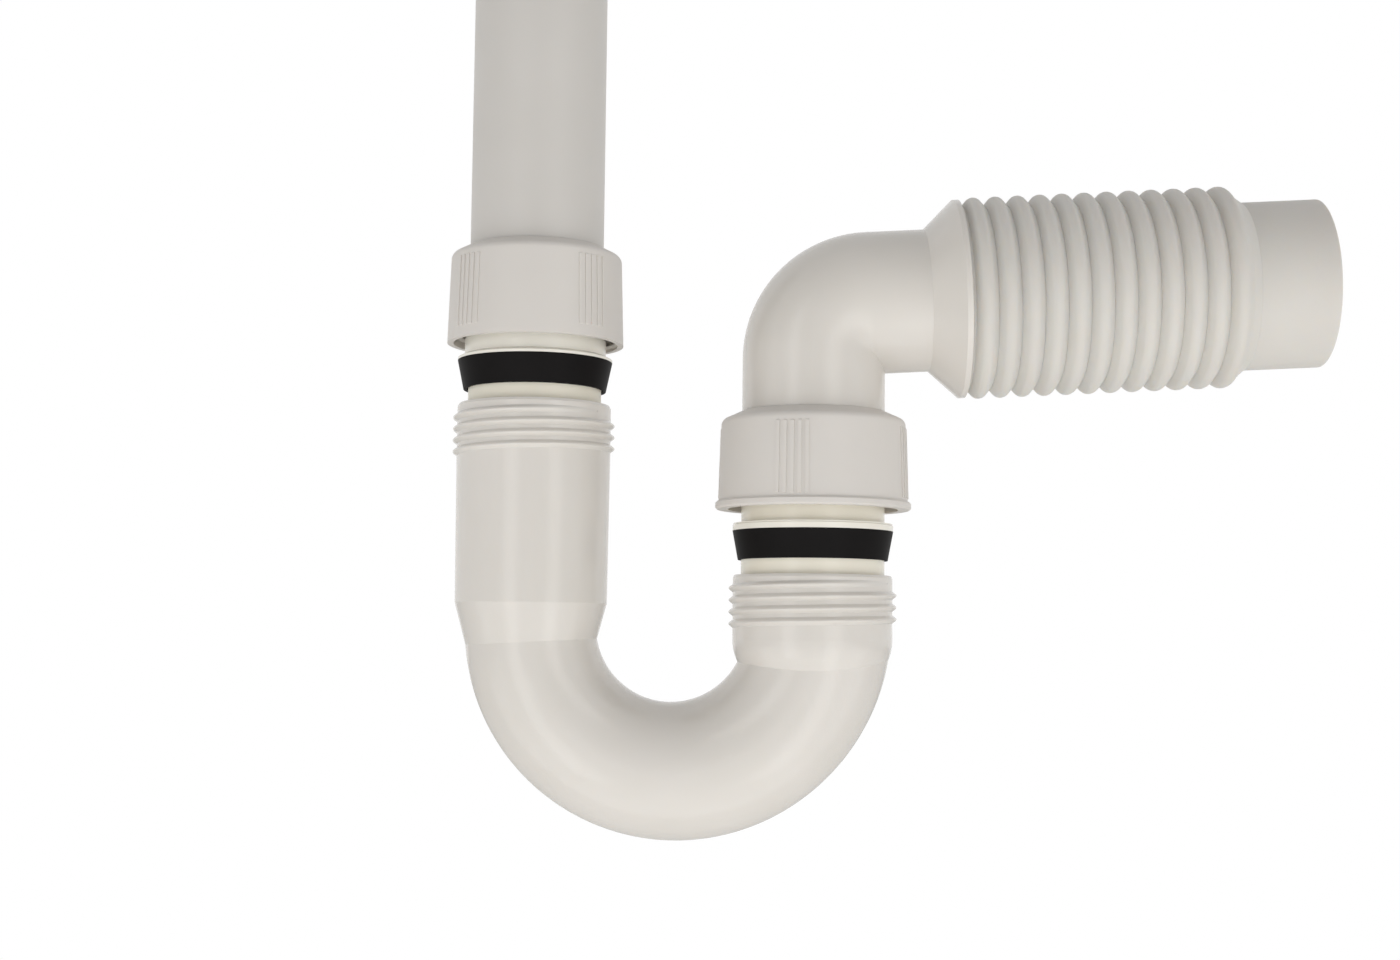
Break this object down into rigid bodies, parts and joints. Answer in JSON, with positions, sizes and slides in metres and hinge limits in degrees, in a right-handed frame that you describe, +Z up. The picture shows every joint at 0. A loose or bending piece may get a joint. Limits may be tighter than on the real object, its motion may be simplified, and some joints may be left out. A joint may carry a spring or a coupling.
{
  "type": "waste trap",
  "caption": "Plastic slip-joint waste trap, opened at its joints: inlet tube, U-bend, union nuts, tapered rubber seals, and an elbow with a corrugated outlet hose.",
  "frame": {"origin": "middle of the inlet tube's top end", "axes": "+Z up along the inlet tube, +X from the inlet leg to the outlet leg and along the outlet arm"},
  "size_m": [0.2606, 0.06, 0.2553],
  "materials": {
    "tube": "moulded, satin",
    "nut": "moulded, satin",
    "bend": "moulded, satin",
    "hose": "moulded, satin",
    "ring": "moulded, satin",
    "seal": "moulded, dull"
  },
  "bodies": {
    "inlet_tube": {"inlet_tube": "tube"},
    "u_bend": {"u_bend": "bend"},
    "inlet_seal": {"inlet_seal": "seal"},
    "inlet_ring": {"inlet_ring": "ring"},
    "inlet_nut": {"inlet_nut": "nut"},
    "outlet_seal": {"outlet_seal": "seal"},
    "outlet_ring": {"outlet_ring": "ring"},
    "outlet_nut": {"outlet_nut": "nut"},
    "outlet_elbow": {"outlet_elbow": "bend", "outlet_hose": "hose"}
  },
  "joints": [
    {"name": "tube_telescope", "type": "slide", "parent": "inlet_tube", "child": "u_bend", "axis": [0, 0, 1], "range_m": [-0.008, 0.04]},
    {"name": "inlet_seal_seat", "type": "slide", "parent": "u_bend", "child": "inlet_seal", "axis": [0, 0, 1], "range_m": [-0.00715, 0]},
    {"name": "inlet_nut_turn", "type": "hinge", "parent": "inlet_seal", "child": "inlet_ring", "pos_m": [0, 0, -0.12], "axis": [0, 0, 1], "range_deg": [-3204, 0]},
    {"name": "inlet_nut_travel", "type": "slide", "parent": "inlet_ring", "child": "inlet_nut", "axis": [0, 0, 1], "range_m": [-0.02321, 0]},
    {"name": "outlet_seal_seat", "type": "slide", "parent": "u_bend", "child": "outlet_seal", "axis": [0, 0, 1], "range_m": [-0.00715, 0]},
    {"name": "outlet_nut_turn", "type": "hinge", "parent": "outlet_seal", "child": "outlet_ring", "pos_m": [0.0834, 0, -0.12], "axis": [0, 0, 1], "range_deg": [-3672, 0]},
    {"name": "outlet_nut_travel", "type": "slide", "parent": "outlet_ring", "child": "outlet_nut", "axis": [0, 0, 1], "range_m": [-0.02865, 0]},
    {"name": "elbow_swivel", "type": "hinge", "parent": "u_bend", "child": "outlet_elbow", "pos_m": [0.0834, 0, -0.12], "axis": [0, 0, 1], "range_deg": [-130, 130]}
  ],
  "couplings": [
    {"joint": "inlet_seal_seat", "follows": "inlet_nut_turn", "m_per_rad": 0.00012697},
    {"joint": "inlet_nut_travel", "follows": "inlet_nut_turn", "m_per_rad": 0.00041416},
    {"joint": "outlet_seal_seat", "follows": "outlet_nut_turn", "m_per_rad": 0.00011078},
    {"joint": "outlet_nut_travel", "follows": "outlet_nut_turn", "m_per_rad": 0.00044626}
  ]
}
